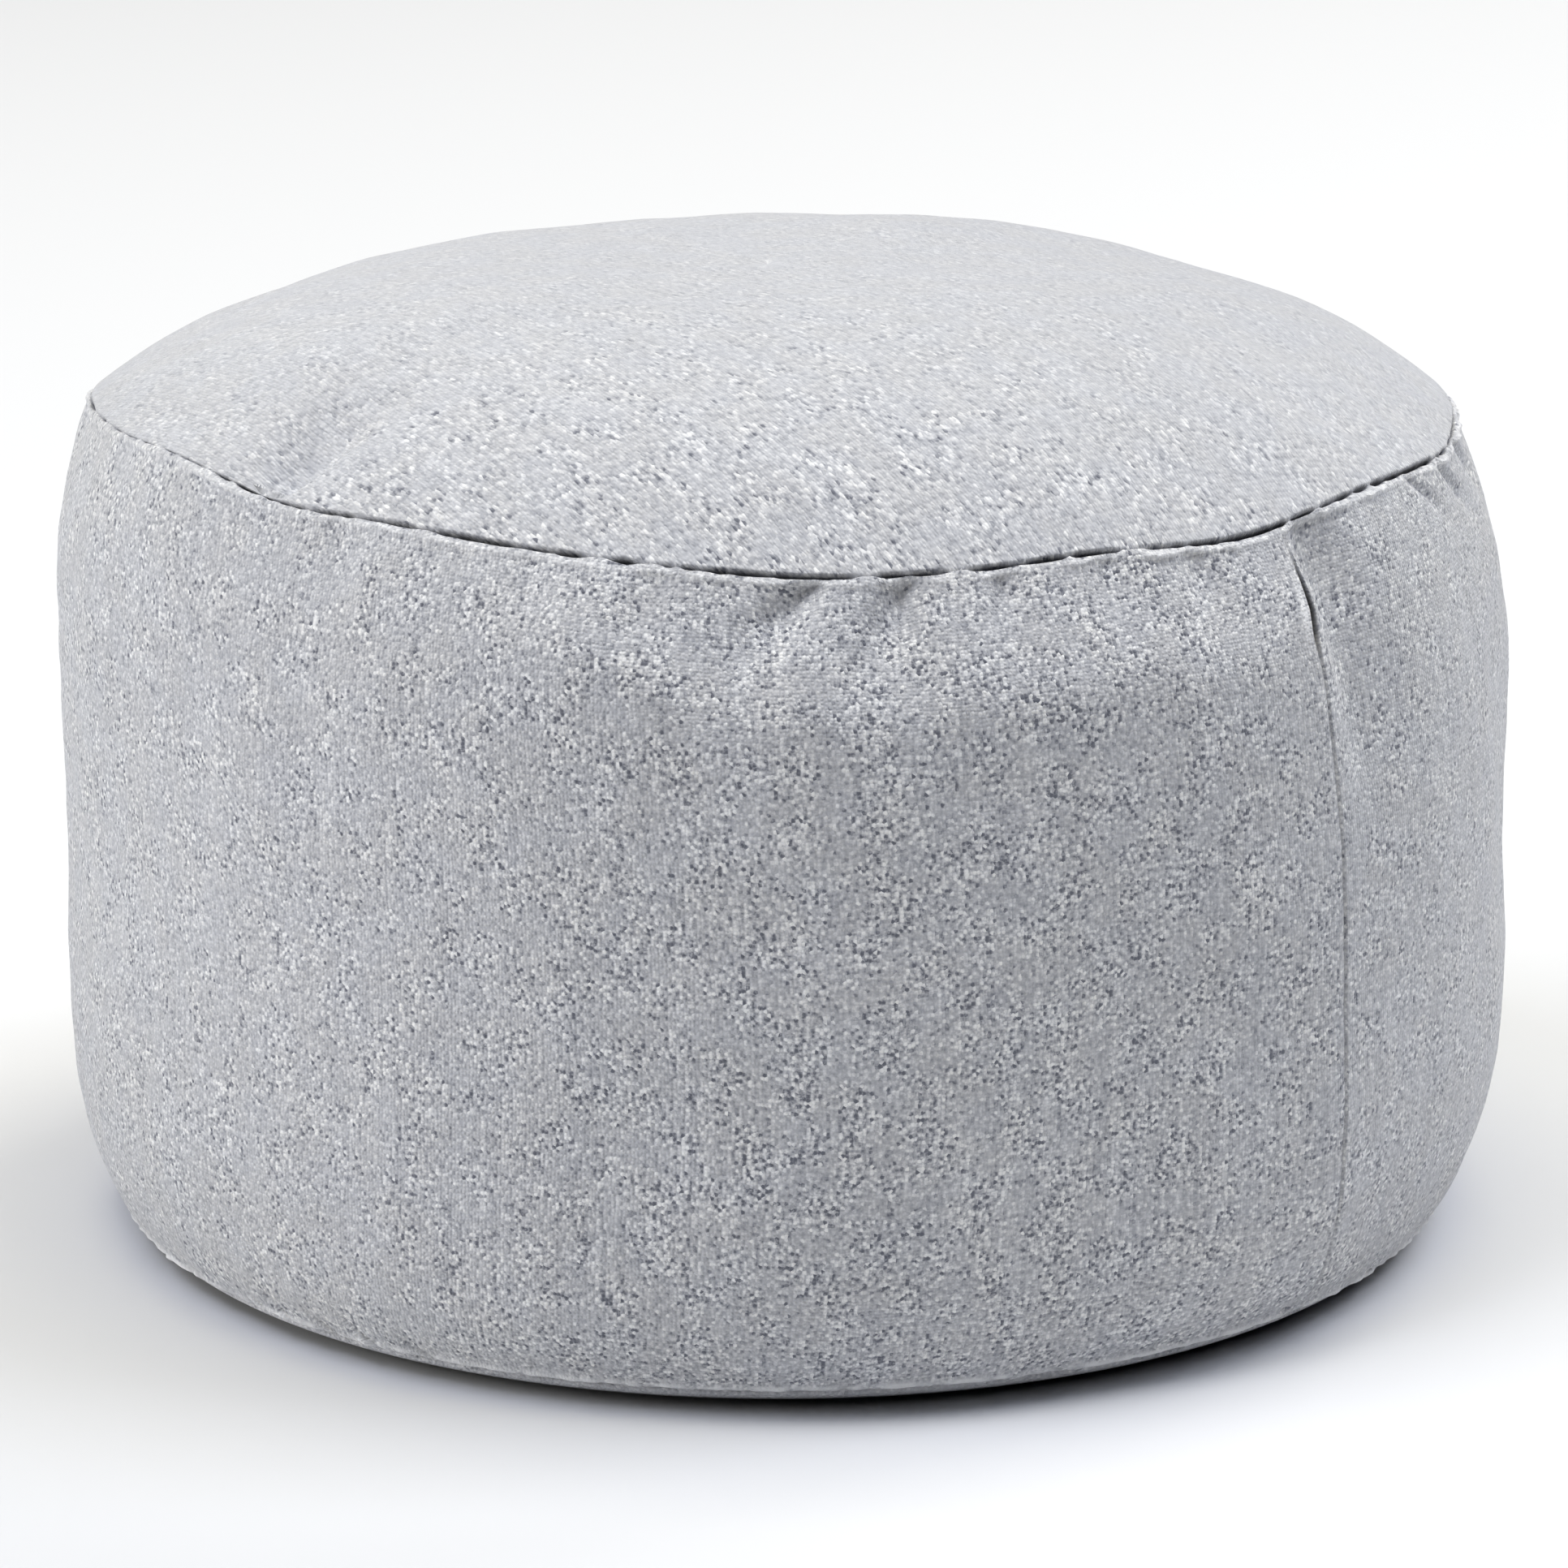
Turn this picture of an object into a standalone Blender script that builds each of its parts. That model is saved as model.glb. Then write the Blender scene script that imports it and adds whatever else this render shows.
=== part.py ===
"""A round bean bag footstool. Metres, +Z up, origin on the floor under the middle of the footstool.

The cover is sewn from three cut pieces: a round top panel, one long side band whose two ends meet at an
upright seam, and a round base panel. The loose filling pushes them out into a crown on top and a belly at
the side. The stitching draws them in at the seams, where the band gathers into small folds.

The skin is laid out as rings, from the middle of the top over the two round seams to the middle of the
base. The two panels are that skin made as thick as the cloth. The band is one filled solid, with its own
face between the seams and a face just under each panel.

A turn is an angle round the footstool in degrees: 0 is the front (-Y), and 90 is the right (+X).
"""

from collections import namedtuple
from math import cos, exp, pi, radians, sin, sqrt

import bmesh
import bpy
from mathutils import Vector

# Driving dimensions of the filled shape
WIDTH = 0.497                # across the belly of the side band
TOP_SEAM_WIDTH = 0.455       # across the top seam, before the stitching draws it in
TOP_SEAM_OVAL = 0.024        # the seam is this share wider from left to right, and narrower front to back
TOP_SEAM_HEIGHT = 0.283      # floor to that seam on average, before the stitching draws it in
CROWN_RISE = 0.050           # from there up to the middle of the top
CROWN_FULLNESS = 3.4         # 2 is an even dome, and more is flatter with a steeper rim
BELLY_HEIGHT = 0.093         # floor to the widest place
SHOULDER_FULLNESS = 5.1      # how late the band draws in towards the top seam
FOOT_FULLNESS = 2.6          # how late the band draws in towards the floor
BASE_SEAM_HEIGHT = 0.007     # floor to the seam between band and base panel
RESTING_WIDTH = 0.410        # across the flat that lies on the floor
BELLY_SHIFT = 0.0044         # the belly has slumped this far to the right
LEAN_HEIGHT = 0.243          # above this height the cover leans to the left instead

# Where the front shoulder is a flat slope instead: how far the slope reaches down from the top seam, and
# how much of it is mixed into the soft curve
FrontShoulder = namedtuple("FrontShoulder", "turn reach share")
FRONT_SHOULDER = (
    FrontShoulder(-26, 0.026, 0.00),
    FrontShoulder(-15, 0.026, 0.45),
    FrontShoulder(-3, 0.046, 1.00),
    FrontShoulder(2, 0.040, 1.00),
    FrontShoulder(7, 0.046, 1.00),
    FrontShoulder(13, 0.040, 1.00),
    FrontShoulder(20, 0.039, 1.00),
    FrontShoulder(28, 0.036, 1.00),
    FrontShoulder(37, 0.038, 0.80),
    FrontShoulder(50, 0.038, 0.30),
    FrontShoulder(62, 0.038, 0.00),
)
SLOPE_EDGE = 0.16            # how round the slope's lower edge is, as a share of its reach

# Cloth and sewing
CLOTH = 0.0025               # the panel cloth with the seam allowances inside it
GAP = 0.0003                 # between pieces that lie on each other
TOP_GROOVE_DEPTH = 0.0045
BASE_GROOVE_DEPTH = 0.0028
GROOVE_SPREAD = 0.0025       # how quickly the cloth rolls over into a round seam
TOP_GROOVE_TILT = 45.0       # the top groove faces this many degrees above the horizon
BASE_GROOVE_TILT = -48.0

# The top seam isn't level: waves that go round it, and short stretches that the sewing pulls down or up.
SeamWave = namedtuple("SeamWave", "waves_round rise crest_turn")
SEAM_WAVES = (
    SeamWave(1, 0.0047, -21),
    SeamWave(2, 0.0060, -65),
    SeamWave(3, 0.0022, 53),
)
SeamPull = namedtuple("SeamPull", "turn half_width drop")
SEAM_PULLS = (
    SeamPull(-59, 7, -0.0020),
    SeamPull(-43, 7, 0.0028),
    SeamPull(4, 10, 0.0014),
    SeamPull(26, 6, -0.0014),
    SeamPull(42, 7, 0.0022),
    SeamPull(57, 7, -0.0014),
    SeamPull(77, 7, 0.0034),
    SeamPull(121, 9, 0.0020),
    SeamPull(164, 8, 0.0024),
    SeamPull(203, 9, -0.0014),
    SeamPull(247, 8, 0.0018),
)

# Folds that start at the top seam: a trough, with the width of each of its two sides. lean is how far the
# fold turns on the way to its other end.
Fold = namedtuple("Fold", "turn lean length left_width right_width depth")
FOLD_WIDTH_AT_SEAM = 0.75    # times the widths in the tables
FOLD_WIDENS = 0.6            # and this much more at its other end
FOLD_END_FADE = 1.5          # how softly its depth runs out there
BAND_FOLD_START = 0.007      # the band's folds come to their depth about this far from the seam
BAND_FOLDS = (
    Fold(-84, 2, 0.034, 0.008, 0.008, 0.0030),
    Fold(-66, -1, 0.030, 0.008, 0.008, 0.0022),
    Fold(-38, 2, 0.030, 0.008, 0.006, 0.0030),
    Fold(-20, 1, 0.024, 0.007, 0.006, 0.0024),
    Fold(-9, -2, 0.030, 0.008, 0.006, 0.0034),
    Fold(4.4, -5.5, 0.029, 0.0095, 0.0045, 0.0125),
    Fold(12.0, -6, 0.037, 0.0090, 0.0045, 0.0120),
    Fold(19, -1, 0.022, 0.0045, 0.0045, 0.0055),
    Fold(28, -1, 0.034, 0.009, 0.007, 0.0040),
    Fold(36, 1, 0.030, 0.008, 0.006, 0.0044),
    Fold(51.5, 4, 0.052, 0.008, 0.011, 0.0072),
    Fold(62, 9, 0.026, 0.005, 0.0035, 0.0052),
    Fold(70, 9, 0.030, 0.006, 0.0040, 0.0060),
    Fold(80, 7, 0.028, 0.005, 0.0040, 0.0048),
    Fold(97, -2, 0.036, 0.009, 0.007, 0.0036),
    Fold(113, 3, 0.046, 0.009, 0.006, 0.0048),
    Fold(126, -1, 0.030, 0.008, 0.006, 0.0030),
    Fold(141, 2, 0.040, 0.009, 0.006, 0.0044),
    Fold(158, -3, 0.044, 0.008, 0.005, 0.0064),
    Fold(171, 1, 0.028, 0.008, 0.006, 0.0030),
    Fold(186, 3, 0.042, 0.006, 0.009, 0.0050),
    Fold(199, -2, 0.034, 0.008, 0.006, 0.0034),
    Fold(215, 2, 0.046, 0.009, 0.006, 0.0052),
    Fold(229, -2, 0.030, 0.008, 0.006, 0.0030),
    Fold(246, 2, 0.040, 0.009, 0.006, 0.0040),
    Fold(260, -1, 0.032, 0.008, 0.006, 0.0028),
)
# Creases that run from the top seam towards the middle of the top panel.
PANEL_FOLD_START = 0.015
PANEL_FOLDS = (
    Fold(-46.0, 1.5, 0.050, 0.015, 0.011, 0.0120),
    Fold(3, 2, 0.030, 0.012, 0.010, 0.0018),
    Fold(37, 3, 0.036, 0.012, 0.010, 0.0020),
    Fold(66, -3, 0.045, 0.013, 0.010, 0.0024),
    Fold(112, 4, 0.070, 0.015, 0.012, 0.0036),
    Fold(157, -3, 0.050, 0.013, 0.009, 0.0030),
    Fold(190, 3, 0.060, 0.014, 0.010, 0.0034),
    Fold(232, -4, 0.055, 0.014, 0.010, 0.0032),
)
# Broad hollows in the top panel, where the filling lies lower. A depth below nothing is a low rise.
Hollow = namedtuple("Hollow", "turn inward half_along half_across depth")
PANEL_HOLLOWS = (
    Hollow(-60, 0.016, 0.038, 0.020, 0.0035),
    Hollow(138, 0.146, 0.045, 0.035, -0.0022),
    Hollow(-128, 0.096, 0.045, 0.035, -0.0018),
    Hollow(100, 0.110, 0.050, 0.045, 0.0026),
    Hollow(172, 0.060, 0.055, 0.030, 0.0026),
)
# Broad waves in the band: how many go round, how far they stand out, and where one is fullest.
BandWave = namedtuple("BandWave", "waves_round swell crest_turn")
BAND_WAVES = (
    BandWave(3, 0.0012, 30),
    BandWave(5, 0.0009, -12),
    BandWave(9, 0.0006, 8),
)

# The upright seam: its turn at shares of the way from the top seam to the base seam.
SeamPlace = namedtuple("SeamPlace", "share turn")
SIDE_SEAM = (
    SeamPlace(0.00, 46.4),
    SeamPlace(0.10, 46.4),
    SeamPlace(0.20, 46.4),
    SeamPlace(0.35, 45.4),
    SeamPlace(0.75, 46.3),
    SeamPlace(0.90, 48.8),
    SeamPlace(1.00, 48.8),
)
SIDE_SEAM_DEPTH = 0.0022
SIDE_SEAM_SPREAD = 0.0022    # how quickly the cloth rolls over into the upright seam
SIDE_SEAM_STEP = 0.0014      # the left side stands this far out, and the right side lies as far in
SIDE_SEAM_STEP_SPREAD = 0.016
SIDE_SEAM_GATHER = 1.2       # how much deeper the seam is where the band is gathered, near its top
GATHER_SHARE = 0.15          # where it is deepest, as a share of the way down
GATHER_SPREAD = 0.10
SIDE_SEAM_FADE = 12.0        # how fast the upright seam comes up out of the round seams
SIDE_SEAM_SWAY = 14.0        # degrees each side over which the mesh lines follow the seam

# Where the mesh has its lines, in degrees, and its rings: metres in from the top seam on the top panel,
# shares of the way down on the band, and shares of the base seam's height on the base panel's rim
PLAIN_LINE_STEP = 4.0
PLAIN_LINES_APART = 2.2
FOLD_LINES = (-1.8, 0.0, 1.8)
FOLD_LINES_APART = 1.3
SIDE_SEAM_LINES = (-3.4, -1.6, -0.6, 0.0, 0.6, 1.6, 3.4)
SIDE_SEAM_LINES_APART = 0.5
PANEL_RINGS = (0.0, 0.0016, 0.0045, 0.011, 0.021, 0.036, 0.060, 0.100, 0.155)
BAND_RINGS = (0.008, 0.017, 0.033, 0.055, 0.085, 0.12, 0.165, 0.23,
              0.32, 0.46, 0.61, 0.75, 0.86, 0.93, 0.97, 0.991)
BASE_RINGS = (1.0, 0.72, 0.38, 0.12, 0.0)
BASE_INNER_RING = 0.5        # one more ring in the flat, as a share of the resting width

CLOTH_COLOUR = (0.52, 0.53, 0.56, 1.0)


def hump(distance, half_width):
    """1 in the middle, falling softly to nothing on both sides."""
    return exp(-((distance / half_width) ** 2))


def turned(turn, other):
    """How far turn is past other, from -180 to 180."""
    return (turn - other + 180) % 360 - 180


def side_seam_turn(share):
    """Where the upright seam is, at a share of the way from the top seam to the base seam."""
    for above, below in zip(SIDE_SEAM, SIDE_SEAM[1:]):
        if share <= below.share:
            part = (share - above.share) / (below.share - above.share)
            return above.turn + part * (below.turn - above.turn)
    return SIDE_SEAM[-1].turn


def seam_height(turn):
    height = TOP_SEAM_HEIGHT
    for wave in SEAM_WAVES:
        height += wave.rise * cos(radians(wave.waves_round * (turn - wave.crest_turn)))
    for pull in SEAM_PULLS:
        height -= pull.drop * hump(turned(turn, pull.turn), pull.half_width)
    return height


def seam_radius(turn):
    return TOP_SEAM_WIDTH / 2 * (1 - TOP_SEAM_OVAL * cos(radians(2 * turn)))


def eased(table, key, turn):
    """A value from a table by turn, with soft steps from each row to the next."""
    turn = turned(turn, 0)
    if turn <= table[0].turn:
        return getattr(table[0], key)
    for before, after in zip(table, table[1:]):
        if turn <= after.turn:
            part = (turn - before.turn) / (after.turn - before.turn)
            part = part * part * (3 - 2 * part)
            return getattr(before, key) * (1 - part) + getattr(after, key) * part
    return getattr(table[-1], key)


def shoulder(turn, height):
    """How far the shoulder is drawn in at a height, as a share of its draw at the top seam."""
    rise = (height - BELLY_HEIGHT) / (seam_height(turn) - BELLY_HEIGHT)
    share = eased(FRONT_SHOULDER, "share", turn)
    slope = 1 - (seam_height(turn) - height) / eased(FRONT_SHOULDER, "reach", turn)
    slope = (slope + sqrt(slope**2 + SLOPE_EDGE**2)) / (1 + sqrt(1 + SLOPE_EDGE**2))
    return (1 - share) * rise**SHOULDER_FULLNESS + share * slope


def band_radius(turn, height):
    """The plain outline of the band: shoulder, belly and foot."""
    belly = WIDTH / 2
    if height >= BELLY_HEIGHT:
        return belly - (belly - seam_radius(turn)) * shoulder(turn, height)
    fall = (BELLY_HEIGHT - height) / BELLY_HEIGHT
    reach = max(0.0, 1 - fall**FOOT_FULLNESS) ** (1 / FOOT_FULLNESS)
    return RESTING_WIDTH / 2 + (belly - RESTING_WIDTH / 2) * reach


def fold_depth(folds, start, turn, distance, radius):
    """How far the folds draw the cloth in, at a distance from the top seam, which itself stays put."""
    depth = 0.0
    for fold in folds:
        along = distance / fold.length
        if along < 1:
            middle = fold.turn + fold.lean * along
            across = radians(turned(turn, middle)) * radius
            width = fold.left_width if across < 0 else fold.right_width
            width *= FOLD_WIDTH_AT_SEAM + FOLD_WIDENS * along
            depth += fold.depth * (1 - along**2) ** FOLD_END_FADE * hump(across, width)
    return depth * (1 - exp(-distance / start))


def hollow_depth(turn, radius):
    depth = 0.0
    for hollow in PANEL_HOLLOWS:
        aside = radians(turned(turn, hollow.turn))
        along = radius * sin(aside)
        across = radius * cos(aside) - (TOP_SEAM_WIDTH / 2 - hollow.inward)
        depth += hollow.depth * hump(along, hollow.half_along) * hump(across, hollow.half_across)
    return depth


def side_seam_depth(turn, share, radius):
    """How far in the cloth lies beside the upright seam: its groove, and its step from left to right."""
    across = radians(turned(turn, side_seam_turn(share))) * radius
    gathered = 1 + SIDE_SEAM_GATHER * hump(share - GATHER_SHARE, GATHER_SPREAD)
    groove = SIDE_SEAM_DEPTH * gathered * exp(-abs(across) / SIDE_SEAM_SPREAD)
    step = SIDE_SEAM_STEP * exp(-abs(across) / SIDE_SEAM_STEP_SPREAD)
    fade = min(1.0, SIDE_SEAM_FADE * share, SIDE_SEAM_FADE * (1 - share))
    return fade * (groove + (step if across > 0 else -step))


def placed(turn, radius, height):
    """The point at a turn, radius and height, moved over as far as the filling has slumped there."""
    slump = BELLY_SHIFT * sin(pi * height / LEAN_HEIGHT)
    return Vector((radius * sin(radians(turn)) + slump, -radius * cos(radians(turn)), height))


def sunk(turn, radius, height, tilt, depth):
    """The point, moved into the footstool at a groove that faces tilt degrees above the horizon."""
    return placed(turn, radius - depth * cos(radians(tilt)), height - depth * sin(radians(tilt)))


def panel_point(turn, inward):
    """The top panel's face, at a distance inward from its seam."""
    share = 1 - inward / (TOP_SEAM_WIDTH / 2)
    radius = seam_radius(turn) * share
    unlevel = (seam_height(turn) - TOP_SEAM_HEIGHT) * share**2
    height = TOP_SEAM_HEIGHT + unlevel + CROWN_RISE * (1 - share**CROWN_FULLNESS)
    height -= fold_depth(PANEL_FOLDS, PANEL_FOLD_START, turn, inward, radius) + hollow_depth(turn, radius)
    groove = TOP_GROOVE_DEPTH * exp(-inward / GROOVE_SPREAD)
    return sunk(turn, radius, height, TOP_GROOVE_TILT, groove)


def band_point(turn, share):
    """The band's face, at a share of the way from the top seam down to the base seam."""
    length = seam_height(turn) - BASE_SEAM_HEIGHT
    height = seam_height(turn) - share * length
    radius = band_radius(turn, height)
    for wave in BAND_WAVES:
        swell = wave.swell * cos(radians(wave.waves_round * (turn - wave.crest_turn)))
        radius += swell * sin(pi * share)
    radius -= fold_depth(BAND_FOLDS, BAND_FOLD_START, turn, share * length, radius)
    radius -= side_seam_depth(turn, share, radius)
    if share < 0.5:
        groove = TOP_GROOVE_DEPTH * exp(-share * length / GROOVE_SPREAD)
        return sunk(turn, radius, height, TOP_GROOVE_TILT, groove)
    groove = BASE_GROOVE_DEPTH * exp(-(1 - share) * length / GROOVE_SPREAD)
    return sunk(turn, radius, height, BASE_GROOVE_TILT, groove)


def base_point(turn, share):
    """The base panel's rounded rim, from share 1 at the base seam to share 0 on the floor."""
    height = BASE_SEAM_HEIGHT * share
    radius = band_radius(turn, height)
    groove = BASE_GROOVE_DEPTH * exp(-(BASE_SEAM_HEIGHT - height) / GROOVE_SPREAD) * share
    return sunk(turn, radius, height, BASE_GROOVE_TILT, groove)


def mesh_lines():
    """The turns of the mesh lines: at the upright seam, at the folds, and evenly between them."""
    at_seam = [side_seam_turn(0) + offset for offset in SIDE_SEAM_LINES]
    folds = BAND_FOLDS + PANEL_FOLDS
    at_folds = [fold.turn + fold.lean / 2 + offset for fold in folds for offset in FOLD_LINES]
    plain = [PLAIN_LINE_STEP * step for step in range(round(360 / PLAIN_LINE_STEP))]
    kept = []
    for turns, apart in (
        (at_seam, SIDE_SEAM_LINES_APART),
        (at_folds, FOLD_LINES_APART),
        (plain, PLAIN_LINES_APART),
    ):
        for turn in turns:
            if all(abs(turned(turn, other)) >= apart for other in kept):
                kept.append(turn)
    return sorted(turn % 360 for turn in kept)


def swayed(line, share):
    """The turn of a mesh line at a share of the band's height: lines near the upright seam follow it."""
    sweep = side_seam_turn(share) - side_seam_turn(0)
    return line + sweep * hump(turned(line, side_seam_turn(0)), SIDE_SEAM_SWAY)


def join_fan(mesh, centre, loop):
    for this, after in zip(loop, loop[1:] + loop[:1]):
        mesh.faces.new((centre, this, after))


def join_loops(mesh, upper, lower):
    """Triangles between two rings, always with the same diagonal, so faces behind each other stay apart."""
    above = zip(upper, upper[1:] + upper[:1])
    below = zip(lower, lower[1:] + lower[:1])
    for (this, after), (under, under_after) in zip(above, below):
        mesh.faces.new((this, under, under_after))
        mesh.faces.new((this, under_after, after))


class Sheet:
    """The outer face of a round panel: rings from its middle point out to its seam."""

    def __init__(self, middle, rings, faces_down=False):
        self.mesh = bmesh.new()
        self.middle = self.mesh.verts.new(middle)
        self.loops = [[self.mesh.verts.new(point) for point in ring] for ring in rings]
        join_fan(self.mesh, self.middle, self.loops[0])
        for inner, outer in zip(self.loops, self.loops[1:]):
            join_loops(self.mesh, inner, outer)
        if faces_down:
            bmesh.ops.reverse_faces(self.mesh, faces=self.mesh.faces)
        self.mesh.normal_update()

    def backing(self):
        """The middle point and the rings of a face just behind the panel's cloth.

        The last two rings go round the panel's cut edge, out to the skin again.
        """
        edge = zip(self.loops[-2], self.loops[-1])
        step = [(outer.co - inner.co).normalized() * GAP for inner, outer in edge]
        behind = [[vert.co - vert.normal * (CLOTH + GAP) for vert in loop] for loop in self.loops]
        behind[-1] = [point + past for point, past in zip(behind[-1], step)]
        behind.append([vert.co + past for vert, past in zip(self.loops[-1], step)])
        return self.middle.co - self.middle.normal * (CLOTH + GAP), behind


def filled_band(top, base, band_rings):
    """One closed solid: the face under the top panel, the band's own face, and one over the base panel."""
    top_middle, top_rings = top.backing()
    base_middle, base_rings = base.backing()
    mesh = bmesh.new()
    rings = top_rings + band_rings + base_rings[::-1]
    loops = [[mesh.verts.new(point) for point in ring] for ring in rings]
    join_fan(mesh, mesh.verts.new(top_middle), loops[0])
    for upper, lower in zip(loops, loops[1:]):
        join_loops(mesh, upper, lower)
    join_fan(mesh, mesh.verts.new(base_middle), loops[-1][::-1])
    return mesh


def middle_in_plan(rings):
    xs = [point.x for ring in rings for point in ring]
    ys = [point.y for ring in rings for point in ring]
    return Vector(((min(xs) + max(xs)) / 2, (min(ys) + max(ys)) / 2, 0))


def cloth_material(name):
    material = bpy.data.materials.new(name)
    material.use_nodes = True
    shader = material.node_tree.nodes["Principled BSDF"]
    shader.inputs["Base Color"].default_value = CLOTH_COLOUR
    shader.inputs["Roughness"].default_value = 0.92
    shader.inputs["Metallic"].default_value = 0.0
    return material


def add_object(name, mesh, shift):
    bmesh.ops.translate(mesh, verts=mesh.verts, vec=shift)
    bmesh.ops.recalc_face_normals(mesh, faces=mesh.faces)
    data = bpy.data.meshes.new(name)
    mesh.to_mesh(data)
    mesh.free()
    data.materials.append(cloth_material(name + " cloth"))
    data.shade_smooth()
    data.set_sharp_from_angle(angle=radians(50))
    added = bpy.data.objects.new(name, data)
    bpy.context.scene.collection.objects.link(added)
    return added


def add_panel(name, sheet, shift):
    """A panel: the sheet, made as thick as the cloth inwards."""
    panel = add_object(name, sheet.mesh, shift)
    thicken = panel.modifiers.new("cloth thickness", "SOLIDIFY")
    thicken.thickness = CLOTH
    thicken.offset = -1
    thicken.use_even_offset = False


def build():
    for old in list(bpy.data.objects):
        bpy.data.objects.remove(old)

    lines = mesh_lines()
    panel_rings = [[panel_point(line, inward) for line in lines] for inward in reversed(PANEL_RINGS)]
    top = Sheet(panel_point(0, TOP_SEAM_WIDTH / 2), panel_rings)

    band_rings = [[band_point(swayed(line, share), share) for line in lines] for share in BAND_RINGS]

    foot_lines = [swayed(line, 1) for line in lines]
    base_rings = [[placed(line, BASE_INNER_RING * RESTING_WIDTH / 2, 0) for line in foot_lines]]
    base_rings += [[base_point(line, share) for line in foot_lines] for share in reversed(BASE_RINGS)]
    base = Sheet(placed(0, 0, 0), base_rings, faces_down=True)

    shift = -middle_in_plan(band_rings)
    add_object("side_band", filled_band(top, base, band_rings), shift)
    add_panel("top_panel", top, shift)
    add_panel("base_panel", base, shift)


build()
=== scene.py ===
"""The looks of a round bean bag footstool: its heathered cloth, seams and puckers, and a plain pale studio.

The cloth is laid out as rings, from the middle of the top over the two round seams to the middle of the base.
Lengths are in metres. A turn is an angle round the footstool in degrees: 0 is the front (-Y), and 90 is the
right (+X).
"""

from collections import namedtuple
from math import cos, pi, radians, sin, sqrt

import bpy
import numpy as np
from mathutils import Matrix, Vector


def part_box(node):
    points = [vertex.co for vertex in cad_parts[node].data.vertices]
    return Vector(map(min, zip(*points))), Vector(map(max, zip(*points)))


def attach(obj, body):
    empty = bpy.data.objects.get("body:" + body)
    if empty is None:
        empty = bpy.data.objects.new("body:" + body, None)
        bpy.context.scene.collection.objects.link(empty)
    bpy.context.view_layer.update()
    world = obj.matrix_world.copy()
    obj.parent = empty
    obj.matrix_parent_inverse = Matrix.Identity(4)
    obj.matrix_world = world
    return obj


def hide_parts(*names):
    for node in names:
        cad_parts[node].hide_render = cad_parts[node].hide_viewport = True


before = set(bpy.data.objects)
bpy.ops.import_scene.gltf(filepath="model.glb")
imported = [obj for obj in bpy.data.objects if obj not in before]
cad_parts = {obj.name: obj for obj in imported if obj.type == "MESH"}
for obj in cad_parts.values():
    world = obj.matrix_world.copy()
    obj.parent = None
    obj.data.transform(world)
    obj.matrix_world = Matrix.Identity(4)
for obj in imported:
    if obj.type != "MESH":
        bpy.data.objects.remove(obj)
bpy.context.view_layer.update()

# The filled shape, within about 2 mm of the part's. A fullness is a power: the higher, the squarer the curve.
WIDTH = 0.497
TOP_SEAM_WIDTH = 0.454
TOP_SEAM_OVAL = 0.024        # the seam's ring is wider from side to side, and less deep, by this share
TOP_SEAM_HEIGHT = 0.281
CROWN_RISE = 0.0497
CROWN_FULLNESS = 3.8
BELLY_HEIGHT = 0.093
SHOULDER_FULLNESS = 5.1
# The front shoulder: where it is a flat slope instead, how far that reaches down from the seam, and how much
# of the slope is mixed into the soft curve
FrontShoulder = namedtuple("FrontShoulder", "turn reach share")
FRONT_SHOULDER = (
    FrontShoulder(-26, 0.026, 0.00),
    FrontShoulder(-15, 0.026, 0.45),
    FrontShoulder(-3, 0.046, 1.00),
    FrontShoulder(2, 0.040, 1.00),
    FrontShoulder(7, 0.046, 1.00),
    FrontShoulder(13, 0.040, 1.00),
    FrontShoulder(20, 0.039, 1.00),
    FrontShoulder(28, 0.036, 1.00),
    FrontShoulder(37, 0.038, 0.80),
    FrontShoulder(50, 0.038, 0.30),
    FrontShoulder(62, 0.038, 0.00),
)
SLOPE_EDGE = 0.16            # how round the slope's lower edge is, as a share of its reach
FOOT_FULLNESS = 2.6
BASE_SEAM_HEIGHT = 0.007
RESTING_WIDTH = 0.410        # across the flat place that rests on the floor
BELLY_SHIFT = 0.0044         # how far the filling leans to the right, half way up to LEAN_HEIGHT
LEAN_HEIGHT = 0.243

# Cloth and sewing
CLOTH_THICKNESS = 0.0025
TUCKED = 0.0008              # between a panel and the filled band behind it
SLIT_SPREAD = 0.0004         # how wide the slit of a round seam is, to each side
ROLL_SHARE = 0.16            # of a groove's depth: the wider roll of the band into it
ROLL_SPREAD = 0.0026

# The top seam's height: slow waves round it, and places where it is pulled down. A drop below nothing is a
# small rise.
SeamWave = namedtuple("SeamWave", "waves_round rise crest_turn")
SEAM_WAVES = (
    SeamWave(1, 0.0047, -21),
    SeamWave(2, 0.0060, -65),
    SeamWave(3, 0.0022, 53),
)
SeamPull = namedtuple("SeamPull", "turn half_width drop")
SEAM_PULLS = (
    SeamPull(-59, 7, -0.0020),
    SeamPull(-43, 7, 0.0028),
    SeamPull(4, 10, 0.0014),
    SeamPull(26, 6, -0.0014),
    SeamPull(42, 7, 0.0022),
    SeamPull(57, 7, -0.0014),
    SeamPull(77, 7, 0.0034),
    SeamPull(121, 9, 0.0020),
    SeamPull(164, 8, 0.0024),
    SeamPull(203, 9, -0.0014),
    SeamPull(247, 8, 0.0018),
)

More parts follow.
